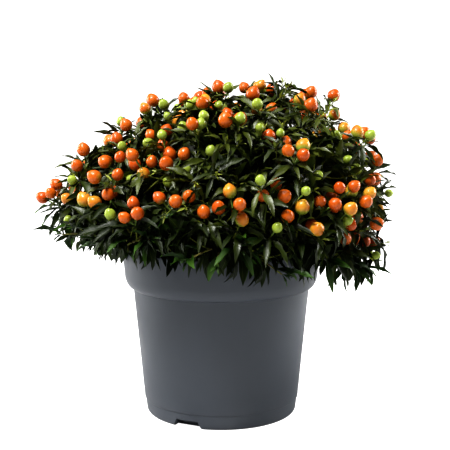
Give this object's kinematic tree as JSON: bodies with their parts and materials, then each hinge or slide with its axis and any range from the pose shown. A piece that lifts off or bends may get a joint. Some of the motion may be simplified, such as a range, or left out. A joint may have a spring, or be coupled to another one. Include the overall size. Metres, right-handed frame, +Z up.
{
  "type": "potted jerusalem cherry",
  "caption": "Low round evergreen bush with small round orange and green berries, in a grey plastic nursery pot filled with potting mix.",
  "frame": {"origin": "centre of the pot's flat underside", "axes": "+Z up along the pot's axis, front of the bush towards -Y"},
  "size_m": [0.3443, 0.3242, 0.3204],
  "materials": {
    "pot": "satin moulded plastic",
    "soil": "moist fibrous potting mix",
    "bark": "fine brown bark",
    "foliage": "glossy dark green leaves"
  },
  "bodies": {
    "root": {"pot": "pot", "soil": "soil", "main_stem": "bark", "bough_skirt_1": "bark", "bough_skirt_2": "bark", "bough_skirt_3": "bark", "bough_skirt_4": "bark", "bough_skirt_5": "bark", "bough_skirt_6": "bark", "bough_flank_1": "bark", "bough_flank_2": "bark", "bough_flank_3": "bark", "bough_flank_4": "bark", "bough_flank_5": "bark", "bough_flank_6": "bark", "bough_top_1": "bark", "bough_top_2": "bark", "bough_top_3": "bark", "mass_skirt_1": "foliage", "mass_skirt_2": "foliage", "mass_skirt_3": "foliage", "mass_skirt_4": "foliage", "mass_skirt_5": "foliage", "mass_skirt_6": "foliage", "mass_flank_1": "foliage", "mass_flank_2": "foliage", "mass_flank_3": "foliage", "mass_flank_4": "foliage", "mass_flank_5": "foliage", "mass_flank_6": "foliage", "mass_top_1": "foliage", "mass_top_2": "foliage", "mass_top_3": "foliage"}
  },
  "joints": []
}
